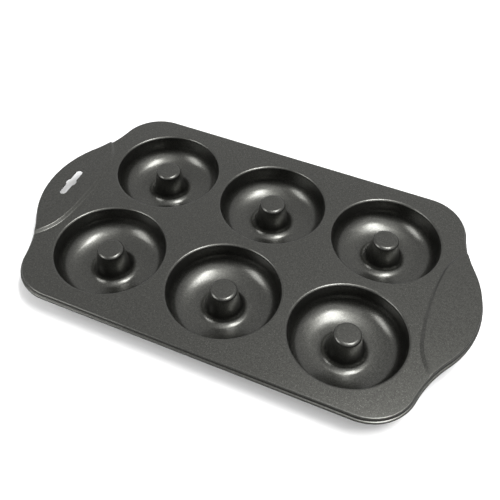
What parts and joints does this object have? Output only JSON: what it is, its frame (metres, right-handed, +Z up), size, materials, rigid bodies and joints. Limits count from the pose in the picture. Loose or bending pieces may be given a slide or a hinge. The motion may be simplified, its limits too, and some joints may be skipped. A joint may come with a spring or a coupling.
{
  "type": "doughnut pan",
  "caption": "Shallow steel baking pan with a grid of ring-shaped cups round middle posts, a rolled edge and raised handle pads at both ends, one with a hanging slot.",
  "frame": {"origin": "middle of the footprint, on the plane that the undersides of the cups rest on", "axes": "+X from the handle with the hanging slot to the plain one, along the longer side; +Y across the pan; +Z up, out of the open cups"},
  "size_m": [0.369, 0.22, 0.0275],
  "materials": {
    "coated_steel": "satin dark grey non-stick coating with a fine metallic fleck"
  },
  "bodies": {
    "root": {"pan": "coated_steel"}
  },
  "joints": []
}
